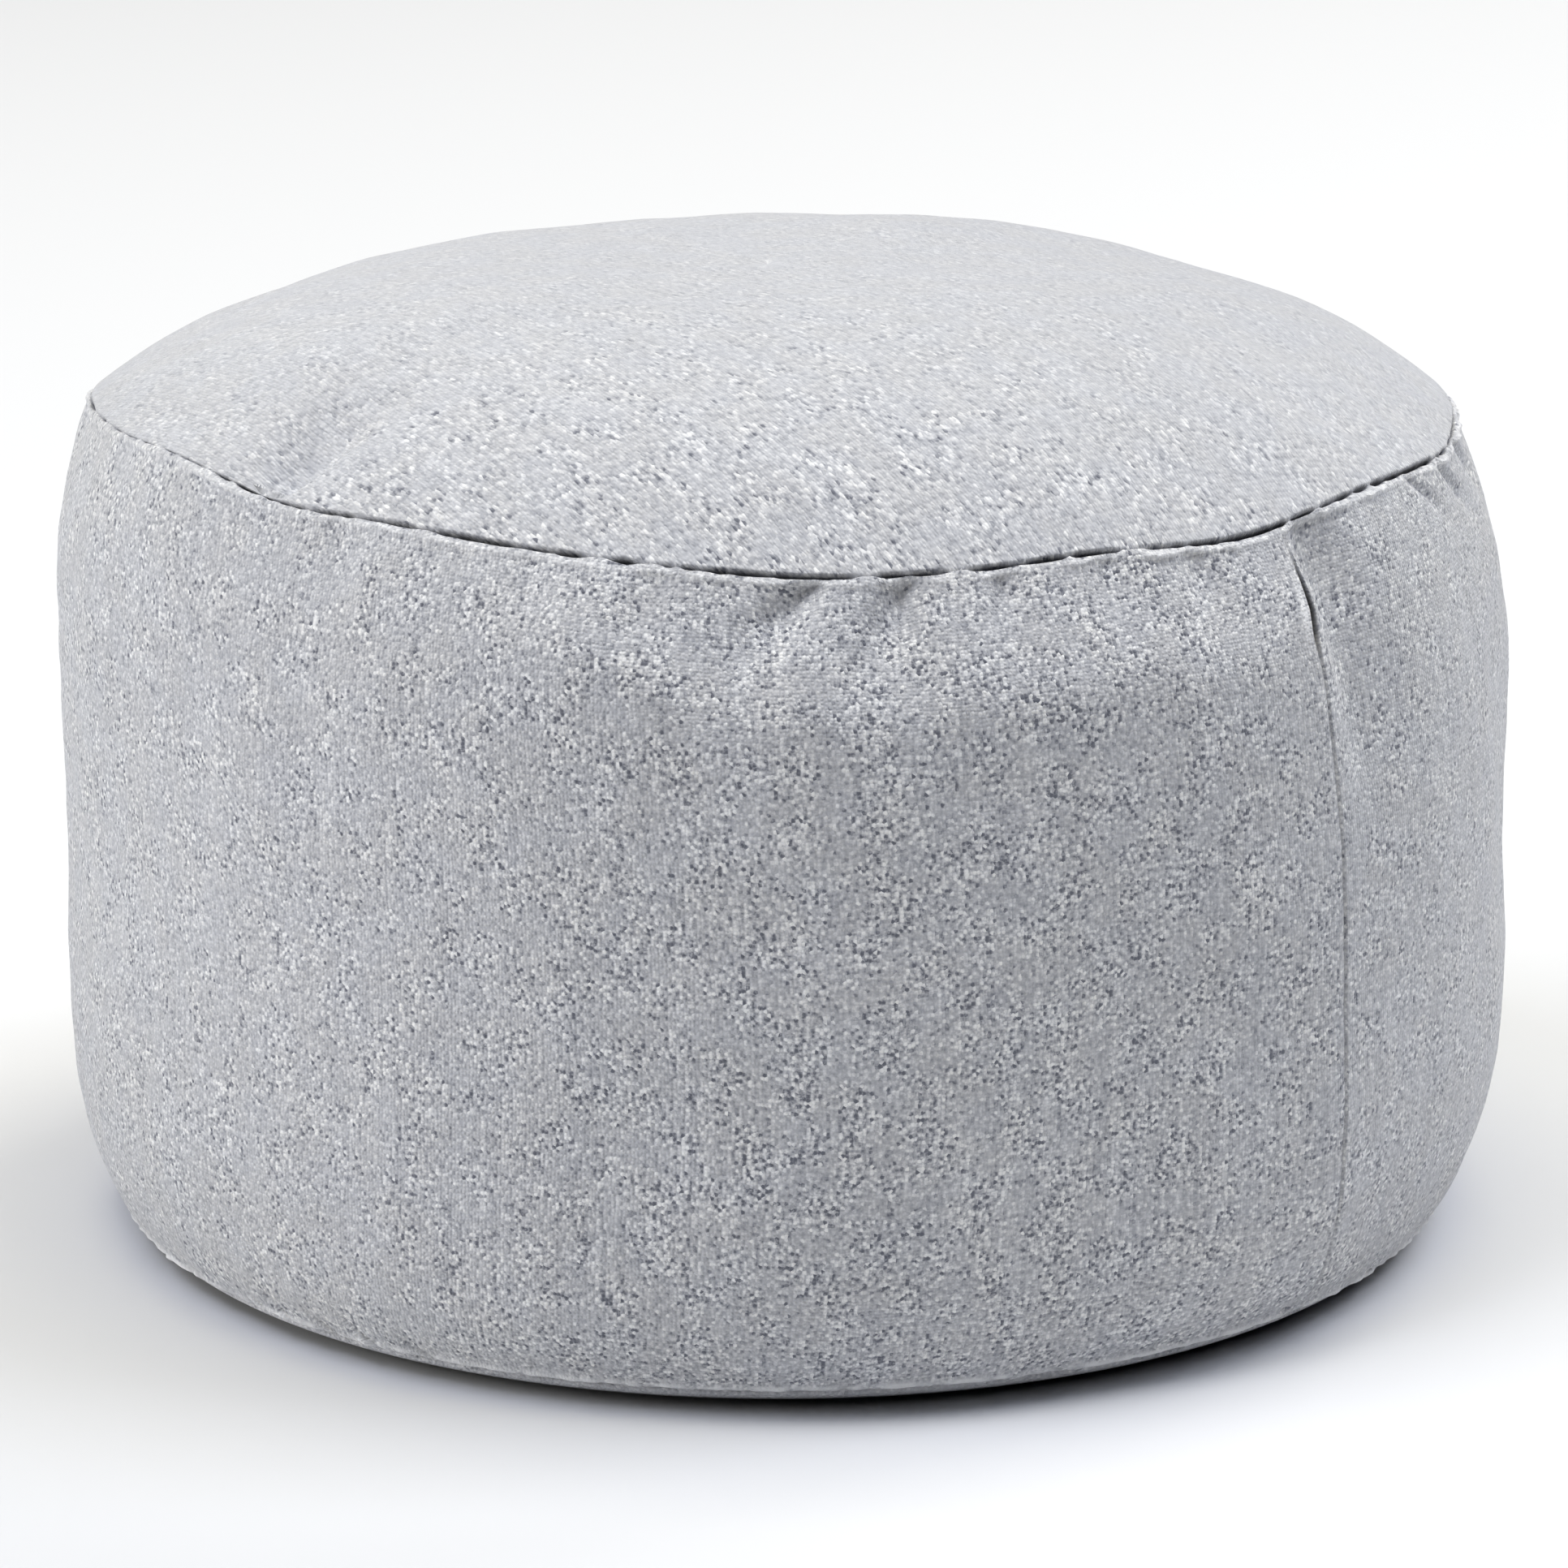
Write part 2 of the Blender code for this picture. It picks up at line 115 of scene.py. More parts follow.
# Folds that start at the top seam: a trough, with the width of each of its sides. lean is how far the fold
# turns on the way to its other end.
Fold = namedtuple("Fold", "turn lean length left_width right_width depth")
FOLD_WIDTH_AT_SEAM = 0.75    # times the widths in the tables
FOLD_WIDENS = 0.6            # and this much more at its other end
FOLD_END_FADE = 1.5          # how softly its depth runs out there
BAND_FOLD_START = 0.005      # how far from the seam a fold of the band comes to most of its depth
BAND_FOLDS = (
    Fold(-84, 2, 0.034, 0.008, 0.008, 0.0030),
    Fold(-66, -1, 0.030, 0.008, 0.008, 0.0022),
    Fold(-38, 2, 0.030, 0.008, 0.006, 0.0030),
    Fold(-20, 1, 0.024, 0.007, 0.006, 0.0024),
    Fold(-9, -2, 0.030, 0.008, 0.006, 0.0034),
    Fold(4.2, -8.0, 0.032, 0.0100, 0.0045, 0.0100),
    Fold(11.6, -5.0, 0.038, 0.0095, 0.0045, 0.0100),
    Fold(19, -1, 0.022, 0.0045, 0.0045, 0.0055),
    Fold(28, -1, 0.034, 0.009, 0.007, 0.0040),
    Fold(36, 1, 0.030, 0.008, 0.006, 0.0044),
    Fold(48.0, 2, 0.115, 0.008, 0.019, 0.0085),
    Fold(64, 9, 0.026, 0.004, 0.0035, 0.0038),
    Fold(72, 9, 0.030, 0.005, 0.0040, 0.0044),
    Fold(80, 7, 0.028, 0.005, 0.0040, 0.0048),
    Fold(97, -2, 0.036, 0.009, 0.007, 0.0036),
    Fold(113, 3, 0.046, 0.009, 0.006, 0.0048),
    Fold(126, -1, 0.030, 0.008, 0.006, 0.0030),
    Fold(141, 2, 0.040, 0.009, 0.006, 0.0044),
    Fold(158, -3, 0.044, 0.008, 0.005, 0.0064),
    Fold(171, 1, 0.028, 0.008, 0.006, 0.0030),
    Fold(186, 3, 0.042, 0.006, 0.009, 0.0050),
    Fold(199, -2, 0.034, 0.008, 0.006, 0.0034),
    Fold(215, 2, 0.046, 0.009, 0.006, 0.0052),
    Fold(229, -2, 0.030, 0.008, 0.006, 0.0030),
    Fold(246, 2, 0.040, 0.009, 0.006, 0.0040),
    Fold(260, -1, 0.032, 0.008, 0.006, 0.0028),
)
# Small tucks that start at the base seam and run up the band
BASE_FOLD_START = 0.0015
BASE_FOLDS = (
    Fold(-47.0, -4.0, 0.012, 0.0016, 0.0010, 0.0024),
    Fold(-44.0, -4.0, 0.016, 0.0020, 0.0012, 0.0030),
    Fold(-38.5, -5.0, 0.014, 0.0018, 0.0012, 0.0030),
    Fold(-34.5, -5.0, 0.018, 0.0020, 0.0014, 0.0032),
    Fold(-28.5, -5.0, 0.013, 0.0018, 0.0012, 0.0026),
    Fold(44.5, 3.0, 0.012, 0.0014, 0.0018, 0.0020),
    Fold(57.0, 4.0, 0.014, 0.0014, 0.0020, 0.0024),
    Fold(120.0, 3.0, 0.014, 0.0014, 0.0020, 0.0024),
    Fold(205.0, -3.0, 0.014, 0.0014, 0.0020, 0.0022),
)
# Wide folds that start at the top seam and run in over the top panel
PANEL_FOLD_START = 0.011
PANEL_FOLDS = (
    Fold(-46.0, 1.5, 0.050, 0.015, 0.009, 0.0160),
    Fold(3, 2, 0.030, 0.012, 0.010, 0.0018),
    Fold(37, 3, 0.036, 0.012, 0.010, 0.0020),
    Fold(66, -3, 0.045, 0.013, 0.010, 0.0024),
    Fold(112, 4, 0.070, 0.015, 0.012, 0.0036),
    Fold(157, -3, 0.050, 0.013, 0.009, 0.0030),
    Fold(190, 3, 0.060, 0.014, 0.010, 0.0034),
    Fold(232, -4, 0.055, 0.014, 0.010, 0.0032),
)
# Broad hollows in the top panel, inward of its seam. A depth below nothing is a low rise.
Hollow = namedtuple("Hollow", "turn inward half_along half_across depth")
PANEL_HOLLOWS = (
    Hollow(-60, 0.016, 0.038, 0.020, 0.0035),
    Hollow(138, 0.146, 0.045, 0.035, -0.0022),
    Hollow(-128, 0.096, 0.045, 0.035, -0.0018),
    Hollow(100, 0.110, 0.050, 0.045, 0.0026),
    Hollow(172, 0.060, 0.055, 0.030, 0.0026),
)
# Slow waves in the width of the band, strongest half way down
BandWave = namedtuple("BandWave", "waves_round swell crest_turn")
BAND_WAVES = (
    BandWave(3, 0.0012, 30),
    BandWave(5, 0.0009, -12),
    BandWave(9, 0.0006, 8),
)

# The upright seam: its turn at shares of the way from the top seam to the base seam
SeamPlace = namedtuple("SeamPlace", "share turn")
SIDE_SEAM = (
    SeamPlace(0.00, 45.8),
    SeamPlace(0.06, 45.8),
    SeamPlace(0.12, 45.0),
    SeamPlace(0.20, 45.2),
    SeamPlace(0.35, 45.7),
    SeamPlace(0.75, 46.0),
    SeamPlace(0.90, 47.2),
    SeamPlace(1.00, 48.4),
)
SIDE_SEAM_DEPTH = 0.0009
SIDE_SEAM_SPREAD = 0.0010
SIDE_SEAM_SLANT = 0.5        # how far the slit goes to the right for each part that it goes in
SIDE_SEAM_RIDGE = 0.0005     # how far the cloth stands out along it
SIDE_SEAM_RIDGE_SPREAD = 0.007
SIDE_SEAM_GATHER = 5.6       # times its plain depth that it is deeper where it is gathered
GATHER_SHARE = 0.092         # where that is, as a share of the way down
GATHER_SPREAD = 0.034
SIDE_SEAM_FADE = 20.0        # it fades out over one part in this many at each end
SIDE_SEAM_SWAY = 14.0        # mesh lines within about this turn of it follow its line

# Painted shade at the seams, mixed into the cloth's colour: 1 in the seam, falling off beside it. Below
# nothing is a painted highlight on a ridge that catches more of the light.
SHADE_REACH = 0.0007
SHADE_DRAW = 1.1             # a round seam's shade is its draw as a share of this,
SHADE_FREE = 0.25            # less this, so that a seam that is hardly drawn in has none
SIDE_SHADE = 0.22            # along the plain part of the upright seam
SIDE_SHADE_REACH = 0.0009
SIDE_SHADE_WIDENS = 0.8      # where it is gathered, times its plain reach
# Painted highlight on the cloth beside the upright seam:
SIDE_LIP_CATCHES = 0.9       # beside the upright seam, on its left, where it is gathered
SIDE_LIP_DISTANCE = -0.0036
SIDE_LIP_SPREAD = 0.0014
# Painted shade low on the base panel's rim, where the floor keeps light off it, and a painted highlight above
# that
RIM_SHADE_EDGES = (0.66, 0.78)   # shares of the way up the base panel's rim: full shade below, none above
RIM_CATCHES = 0.25

# How strongly the cloth's specks show
SIDE_HEATHER = 0.57
FRONT_HEATHER = 0.37         # and this much more where it is strongest
FRONT_HEATHER_TURN = 12.0
FRONT_HEATHER_REACH = 42.0
PANEL_HEATHER = 0.175        # in the middle of the top
PANEL_HEATHER_GROWS = 1.9    # how steeply it grows near the front edge

# The small unevenness of sewn, loosely filled cloth
Swell = namedtuple("Swell", "size height")
BAND_SWELLS = (
    Swell(0.070, 0.0007),
    Swell(0.028, 0.00030),
    Swell(0.011, 0.00010),
)
PANEL_SWELLS = (
    Swell(0.080, 0.0007),
    Swell(0.030, 0.00025),
    Swell(0.012, 0.00008),
)
SWELLS_ADDED = 26
SWELL_SIZES = (0.75, 1.35)   # from the smallest to the largest of them, times the size in the table
SEAM_SETTLES = 0.012         # the swells come to most of their height this far from a seam
# How unevenly the stitching draws the cloth in: random knots once round, and by what share
Pucker = namedtuple("Pucker", "knots share")
GROOVE_PUCKERS = (
    Pucker(150, 0.55),
    Pucker(420, 0.85),
)
LIP_PUCKERS = (
    Pucker(150, 0.50),
    Pucker(420, 0.60),
)
LEAST_DRAW = 0.08
# Where the round top seam is drawn in less, and by what share: at 1 it nearly closes up
SeamBreak = namedtuple("SeamBreak", "turn half_width share")
SEAM_BREAKS = (
    SeamBreak(-72.0, 13.0, 0.75),
    SeamBreak(-33.0, 15.0, 0.45),
    SeamBreak(-14.0, 1.2, 0.8),
    SeamBreak(15.6, 1.6, 1.0),
    SeamBreak(30.0, 1.1, 1.0),
    SeamBreak(98.0, 1.4, 1.0),
    SeamBreak(130.0, 20.0, 0.4),
    SeamBreak(171.0, 1.2, 1.0),
    SeamBreak(236.0, 1.5, 1.0),
)
# The round seams: how deep the groove is, how far above the horizon it faces, and the seed of its stitching.
# The ridge of the seam allowances is the lip on the band beside it, and lip_catches is the painted highlight
# on that.
RoundSeam = namedtuple("RoundSeam", "depth tilt seed breaks lip_distance lip_spread lip_rise lip_catches")
TOP_SEAM = RoundSeam(
    depth=0.0041, tilt=45.0, seed=7, breaks=SEAM_BREAKS,
    lip_distance=0.0021, lip_spread=0.0012, lip_rise=0.0012, lip_catches=0.42,
)
BASE_SEAM = RoundSeam(
    depth=0.0032, tilt=-48.0, seed=8, breaks=(),
    lip_distance=0.0026, lip_spread=0.0016, lip_rise=0.0012, lip_catches=0.8,
)
LIP_SEED_STEP = 10           # from the seed of a seam's stitching to that of its lip
TOP_SEED = 5                 # of the top panel's swells
BAND_SEED = 6                # of the band's

# The mesh: rows close together at the seams, and lines round, in degrees, closer beside the upright seam
ROW_FINEST = 0.0002
ROW_WIDEST = 0.0054
ROW_GROWTH = 1.22
LINE_STEP = 0.40
SEAM_LINES_REACH = 1.5
SEAM_LINE_STEP = 0.09
TOP_ROW_SKIP = 4             # the top panel's hidden side keeps one row in this many,
BASE_ROW_SKIP = 3            # and the base panel's one in this many
BASE_RIM_ROWS = 14
BASE_FLAT_ROWS = 10
RIM_SHARES = np.linspace(1, 0, BASE_RIM_ROWS)
UP = np.array((0, 0, 1.0))


def hump(distance, half_width):
    """1 in the middle, falling softly to nothing on both sides."""
    return np.exp(-((distance / half_width) ** 2))


def soft_step(part):
    """From 0 to 1, with a level start and end."""
    return part * part * (3 - 2 * part)


def turned(turn, other):
    """How far turn is past other, from -180 to 180."""
    return (turn - other + 180) % 360 - 180


def side_seam_turn(share):
    return np.interp(share, [place.share for place in SIDE_SEAM], [place.turn for place in SIDE_SEAM])


def seam_height(turn):
    height = TOP_SEAM_HEIGHT + np.zeros_like(turn)
    for wave in SEAM_WAVES:
        height += wave.rise * np.cos(np.radians(wave.waves_round * (turn - wave.crest_turn)))
    for pull in SEAM_PULLS:
        height -= pull.drop * hump(turned(turn, pull.turn), pull.half_width)
    return height


def seam_radius(turn):
    return TOP_SEAM_WIDTH / 2 * (1 - TOP_SEAM_OVAL * np.cos(np.radians(2 * turn)))


def eased(table, key, turn):
    """A value from a table by turn, with soft steps from each row to the next."""
    turns = np.array([row.turn for row in table])
    values = np.array([getattr(row, key) for row in table])
    turn = turned(turn, 0)
    before = np.clip(np.searchsorted(turns, turn) - 1, 0, len(table) - 2)
    part = soft_step(np.clip((turn - turns[before]) / (turns[before + 1] - turns[before]), 0, 1))
    return values[before] * (1 - part) + values[before + 1] * part


def shoulder(turn, height, rise):
    """How far the shoulder is drawn in at a height, as a share of its draw at the top seam."""
    share = eased(FRONT_SHOULDER, "share", turn)
    slope = 1 - (seam_height(turn) - height) / eased(FRONT_SHOULDER, "reach", turn)
    slope = (slope + np.sqrt(slope**2 + SLOPE_EDGE**2)) / (1 + sqrt(1 + SLOPE_EDGE**2))
    return (1 - share) * rise**SHOULDER_FULLNESS + share * slope


def band_radius(turn, height):
    """The plain outline of the band: shoulder, belly and foot."""
    belly = WIDTH / 2
    rise = np.clip((height - BELLY_HEIGHT) / (seam_height(turn) - BELLY_HEIGHT), 0, None)
    fall = np.clip((BELLY_HEIGHT - height) / BELLY_HEIGHT, 0, 1)
    reach = (1 - fall**FOOT_FULLNESS) ** (1 / FOOT_FULLNESS)
    drawn_in = (belly - seam_radius(turn)) * shoulder(turn, height, rise)
    return RESTING_WIDTH / 2 + (belly - RESTING_WIDTH / 2) * reach - drawn_in


def fold_depth(folds, start, turn, distance, radius):
    """How far the folds draw the cloth in, at a distance from the seam they start at, which stays put."""
    depth = np.zeros_like(distance)
    for fold in folds:
        along = distance / fold.length
        across = np.radians(turned(turn, fold.turn + fold.lean * along)) * radius
        width = np.where(across < 0, fold.left_width, fold.right_width)
        width = width * (FOLD_WIDTH_AT_SEAM + FOLD_WIDENS * along)
        depth += fold.depth * np.clip(1 - along**2, 0, None) ** FOLD_END_FADE * hump(across, width)
    return depth * (1 - np.exp(-distance / start))


def hollow_depth(turn, radius):
    depth = np.zeros_like(turn)
    for hollow in PANEL_HOLLOWS:
        aside = np.radians(turned(turn, hollow.turn))
        along = radius * np.sin(aside)
        across = radius * np.cos(aside) - (TOP_SEAM_WIDTH / 2 - hollow.inward)
        depth += hollow.depth * hump(along, hollow.half_along) * hump(across, hollow.half_across)
    return depth


def side_seam_forms(turn, share, radius):
    """The upright seam's slit, and how far the cloth stands out beside it."""
    across = np.radians(turned(turn, side_seam_turn(share))) * radius
    gathered = 1 + SIDE_SEAM_GATHER * hump(share - GATHER_SHARE, GATHER_SPREAD)
    fade = np.clip(SIDE_SEAM_FADE * np.minimum(share, 1 - share), 0, 1)
    slit = fade * SIDE_SEAM_DEPTH * gathered * hump(across, SIDE_SEAM_SPREAD)
    ridge = fade * SIDE_SEAM_RIDGE * gathered * np.exp(-np.abs(across) / SIDE_SEAM_RIDGE_SPREAD)
    return slit, ridge


def swells(chance, table, across, along, girth=None):
    """Soft random swells of the sizes in the table. girth is the way once round, which closes them."""
    total = np.zeros(np.broadcast(across, along).shape)
    for swell in table:
        for _ in range(SWELLS_ADDED):
            heading = chance.uniform(0, 2 * pi)
            rate = pi / (swell.size * chance.uniform(*SWELL_SIZES))
            rate_across = rate * cos(heading)
            if girth:
                rate_across = round(rate_across * girth / (2 * pi)) * 2 * pi / girth
            phase = chance.uniform(0, 2 * pi)
            wave = np.cos(rate_across * across + rate * sin(heading) * along + phase)
            total += swell.height * wave / sqrt(SWELLS_ADDED / 2)
    return total


def puckers(chance, table, turn):
    """Random stitches that draw in more and less on the way round: shares from about -1 to 1."""
    total = np.zeros_like(turn)
    for pucker in table:
        heights = chance.uniform(-1, 1, pucker.knots)
        place = turn % 360 / 360 * pucker.knots
        before = np.floor(place).astype(int)
        part = soft_step(place - before)
        after = heights[(before + 1) % pucker.knots]
        total += pucker.share * (heights[before % pucker.knots] * (1 - part) + after * part)
    return total


def drawn_share(seam, turn):
    """How much of its full draw a round seam has: 1, and less at its breaks."""
    share = np.ones_like(turn)
    for gap in seam.breaks:
        share *= 1 - gap.share * hump(turned(turn, gap.turn), gap.half_width)
    return share


def seam_draw(seam, turn):
    """How hard a round seam's uneven stitching draws the cloth in: 1 on average away from its breaks."""
    draw = 1 + puckers(np.random.default_rng(seam.seed), GROOVE_PUCKERS, turn)
    return np.clip(draw * drawn_share(seam, turn), LEAST_DRAW, None)


def lip(seam, turn, distance, full):
    """The ridge on the band beside a round seam: about full along its crest, less at the seam's breaks."""
    uneven = 1 + puckers(np.random.default_rng(seam.seed + LIP_SEED_STEP), LIP_PUCKERS, turn)
    return full * (uneven * hump(distance - seam.lip_distance, seam.lip_spread)) * drawn_share(seam, turn)


def groove(distance, roll):
    """A seam's groove, as a share of its depth: a narrow slit, and a share of wider roll into it."""
    return (1 - roll) * hump(distance, SLIT_SPREAD) + roll * np.exp(-distance / ROLL_SPREAD)


def placed(turn, radius, height):
    """Points at a turn, radius and height, moved over as far as the filling leans there."""
    shift = BELLY_SHIFT * np.sin(pi * height / LEAN_HEIGHT)
    x = radius * np.sin(np.radians(turn)) + shift
    y = -radius * np.cos(np.radians(turn))
    return np.stack(np.broadcast_arrays(x, y, height), axis=-1)


def sunk(seam, turn, radius, height, share):
    """Points moved into the footstool at a round seam, by a share of its groove's depth there."""
    depth = seam.depth * seam_draw(seam, turn) * share
    tilt = radians(seam.tilt)
    return placed(turn, radius - depth * cos(tilt), height - depth * sin(tilt))


def top_face(lines, inward):
    """The top panel's face, a ring of points at each distance inward from its seam."""
    chance = np.random.default_rng(TOP_SEED)
    turn, inward = np.meshgrid(lines, inward)
    share = 1 - inward / (TOP_SEAM_WIDTH / 2)
    radius = seam_radius(turn) * share
    unlevel = (seam_height(turn) - TOP_SEAM_HEIGHT) * share**2
    height = TOP_SEAM_HEIGHT + unlevel + CROWN_RISE * (1 - share**CROWN_FULLNESS)
    height -= fold_depth(PANEL_FOLDS, PANEL_FOLD_START, turn, inward, radius) + hollow_depth(turn, radius)
    settled = 1 - np.exp(-inward / SEAM_SETTLES)
    x = radius * np.sin(np.radians(turn))
    y = radius * np.cos(np.radians(turn))
    height += settled * swells(chance, PANEL_SWELLS, x, y)
    return sunk(TOP_SEAM, turn, radius, height, groove(inward, 0))


def swayed(lines, share):
    """The turns of the mesh lines at a share of the band's height: lines near the upright seam follow it."""
    sweep = side_seam_turn(share) - side_seam_turn(0)
    return lines + sweep * hump(turned(lines, side_seam_turn(0)), SIDE_SEAM_SWAY)


def band_grid(lines, shares):
    """At each point of the band: its turn, its share of the way down, and its way from each round seam."""
    lines, share = np.meshgrid(lines, shares)
    turn = swayed(lines, share)
    length = seam_height(turn) - BASE_SEAM_HEIGHT
    return turn, share, share * length, (1 - share) * length


def band_face(lines, shares):
    """The band's face, a ring of points at each share of the way from the top seam down to the base seam."""
    chance = np.random.default_rng(BAND_SEED)
    turn, share, from_top, from_base = band_grid(lines, shares)
    height = seam_height(turn) - from_top
    radius = band_radius(turn, height)
    for wave in BAND_WAVES:
        swell = wave.swell * np.cos(np.radians(wave.waves_round * (turn - wave.crest_turn)))
        radius += swell * np.sin(pi * share)
    radius -= fold_depth(BAND_FOLDS, BAND_FOLD_START, turn, from_top, radius)
    radius -= fold_depth(BASE_FOLDS, BASE_FOLD_START, turn, from_base, radius)
    slit, ridge = side_seam_forms(turn, share, radius)
    turn = turn + np.degrees(slit / radius) * SIDE_SEAM_SLANT
    radius += ridge - slit
    girth = pi * WIDTH
    settled = 1 - np.exp(-np.minimum(from_top, from_base) / SEAM_SETTLES)
    radius += settled * swells(chance, BAND_SWELLS, turn / 360 * girth, height, girth)
    radius += lip(TOP_SEAM, turn, from_top, TOP_SEAM.lip_rise)
    radius += lip(BASE_SEAM, turn, from_base, BASE_SEAM.lip_rise)
    upper = sunk(TOP_SEAM, turn, radius, height, groove(from_top, ROLL_SHARE))
    lower = sunk(BASE_SEAM, turn, radius, height, groove(from_base, ROLL_SHARE))
    return np.where((share < 0.5)[..., None], upper, lower)


def rim_face(lines, shares):
    """The base panel's rounded rim, from share 1 at the base seam to share 0 on the floor."""
    turn, share = np.meshgrid(swayed(lines, 1.0), shares)
    height = BASE_SEAM_HEIGHT * share
    from_seam = BASE_SEAM_HEIGHT - height
    return sunk(BASE_SEAM, turn, band_radius(turn, height), height, groove(from_seam, 0) * share)


def resting_face(lines):
    """The base panel's flat middle, a ring of points at each share of its radius."""
    turn = swayed(lines, 1.0)
    shares = np.linspace(1, 0, BASE_FLAT_ROWS + 1)[1:-1]
    return np.stack([placed(turn, share * RESTING_WIDTH / 2, np.zeros_like(turn)) for share in shares])


def seam_shade(seam, turn, distance):
    """The painted shade at a round seam: the harder it is drawn in, the more."""
    drawn = np.clip(seam_draw(seam, turn) / SHADE_DRAW - SHADE_FREE, 0, 1)
    return drawn * hump(distance, SHADE_REACH)


def top_shade(lines, inward):
    """The painted shade of the top seam at each point of the top panel."""
    turn, inward = np.meshgrid(lines, inward)
    return seam_shade(TOP_SEAM, turn, inward)


def band_shade(lines, shares):
    """The painted shade of the three seams at each point of the band, less the painted highlights on the
    ridges beside them.
    """
    turn, share, from_top, from_base = band_grid(lines, shares)
    across = np.radians(turned(turn, side_seam_turn(share))) * WIDTH / 2
    gathered = hump(share - GATHER_SHARE, GATHER_SPREAD)
    reach = SIDE_SHADE_REACH * (1 + SIDE_SHADE_WIDENS * gathered)
    side = (SIDE_SHADE + (1 - SIDE_SHADE) * gathered) * hump(across, reach)
    shade = np.maximum(seam_shade(TOP_SEAM, turn, from_top), seam_shade(BASE_SEAM, turn, from_base))
    # Painted highlights on the ridges beside the seams
    painted_highlight = lip(TOP_SEAM, turn, from_top, TOP_SEAM.lip_catches)
    painted_highlight = painted_highlight + lip(BASE_SEAM, turn, from_base, BASE_SEAM.lip_catches)
    painted_highlight = painted_highlight + SIDE_LIP_CATCHES * gathered * hump(across - SIDE_LIP_DISTANCE, SIDE_LIP_SPREAD)
    return np.maximum(shade, side) - painted_highlight


def rim_shade(lines, shares):
    """Painted shade low on the base panel's rim, where the floor keeps light off it, and a painted highlight
    on its upper edge.
    """
    # The rim is round, so the square root of the height stands for the way up it
    share = np.sqrt(np.meshgrid(lines, shares)[1])
    low, high = RIM_SHADE_EDGES
    shaded = np.clip((high - share) / (high - low), 0, 1)
    return shaded - RIM_CATCHES * (1 - shaded)


def band_heather(lines, rows):
    """How strongly the specks show on each of the band's rows: most on the front, and less on both sides."""
    strength = SIDE_HEATHER + FRONT_HEATHER * hump(turned(lines, FRONT_HEATHER_TURN), FRONT_HEATHER_REACH)
    return np.tile(strength, (rows, 1))


def panel_heather(lines, inward):
    """How strongly the specks show at each point of the top panel: more towards the front."""
    turn, inward = np.meshgrid(lines, inward)
    forward = np.cos(np.radians(turn)) * (1 - inward / (TOP_SEAM_WIDTH / 2))
    return PANEL_HEATHER * (1 + forward + PANEL_HEATHER_GROWS * forward**2)


def rows_from_seam(reach):
    """Distances from a seam out to reach, close together at the seam and wider apart further on."""
    rows = [0.0]
    step = ROW_FINEST
    while rows[-1] < reach:
        rows.append(rows[-1] + step)
        step = min(step * ROW_GROWTH, ROW_WIDEST)
    return np.array(rows) * reach / rows[-1]


def mesh_lines():
    """The turns of the mesh lines, once round from the upright seam."""
    start = float(side_seam_turn(0))
    beside = np.arange(SEAM_LINE_STEP, SEAM_LINES_REACH, SEAM_LINE_STEP)
    plain = np.arange(SEAM_LINES_REACH, 360 - SEAM_LINES_REACH, LINE_STEP)
    return start + np.concatenate(([0.0], beside, plain, 360 - beside[::-1]))


def faces_out(rings):
    """The outward direction at each point of a stack of closed rings that go from the top downwards."""
    down = np.gradient(rings, axis=0)
    onward = np.roll(rings, -1, axis=1) - np.roll(rings, 1, axis=1)
    out = np.cross(down, onward)
    return out / np.linalg.norm(out, axis=-1, keepdims=True)


def behind(rings, depth):
    """The rings moved in behind their own face."""
    return rings - faces_out(rings) * depth


def distance_down(rings):
    """How far each point is along the cloth from the first ring."""
    steps = np.linalg.norm(np.diff(rings, axis=0), axis=-1)
    return np.concatenate((np.zeros((1, rings.shape[1])), np.cumsum(steps, axis=0)))


def cells(grid):
    """The four corners of each cell of a grid of points, in order round it."""
    return np.stack((grid[:-1, :-1], grid[1:, :-1], grid[1:, 1:], grid[:-1, 1:]), axis=2)


def closed_form(name, first, rings, last, cloth_places, looks, material):
    """A closed mesh: a pole, rings from the top downwards, and a pole.

    cloth_places are the UVs, in metres, and looks has a named value for each point of the rings.
    """
    count, around = rings.shape[:2]
    points = np.concatenate(([first], rings.reshape(-1, 3), [last]))
    number = np.arange(count * around).reshape(count, around) + 1
    number = np.concatenate((number, number[:, :1]), axis=1)
    top_fan = np.stack((np.zeros(around, int), number[0, :-1], number[0, 1:]), axis=-1)
    base_fan = np.stack((number[-1, :-1], np.full(around, len(points) - 1), number[-1, 1:]), axis=-1)
    faces = top_fan.tolist() + cells(number).reshape(-1, 4).tolist() + base_fan.tolist()
    mesh = bpy.data.meshes.new(name)
    mesh.from_pydata(points.tolist(), [], faces)

    upper, lower = cloth_places[0], cloth_places[-1]
    top_places = np.stack(((upper[:-1] + upper[1:]) / 2, upper[:-1], upper[1:]), axis=-2)
    base_places = np.stack((lower[:-1], (lower[:-1] + lower[1:]) / 2, lower[1:]), axis=-2)
    places = (top_places, cells(cloth_places), base_places)
    flat = np.concatenate([part.reshape(-1, 2) for part in places])
    mesh.uv_layers.new(name="Cloth").data.foreach_set("uv", flat.astype(np.float32).ravel())
    for key, values in looks.items():
        values = np.concatenate(([values[0].mean()], values.ravel(), [values[-1].mean()]))
        mesh.attributes.new(name=key, type="FLOAT", domain="POINT").data.foreach_set("value", values)
    mesh.materials.append(material)
    mesh.shade_smooth()
    made = bpy.data.objects.new(name, mesh)
    bpy.context.scene.collection.objects.link(made)
    return made


def disc_places(lines, distance):
    """Where a round panel's points are on its flat cloth: lines round its middle, at a distance from it."""
    turn = np.radians(np.append(lines, lines[0]))
    reach = np.concatenate((distance, distance[:, :1]), axis=1)
    return np.stack((reach * np.sin(turn), -reach * np.cos(turn)), axis=-1)


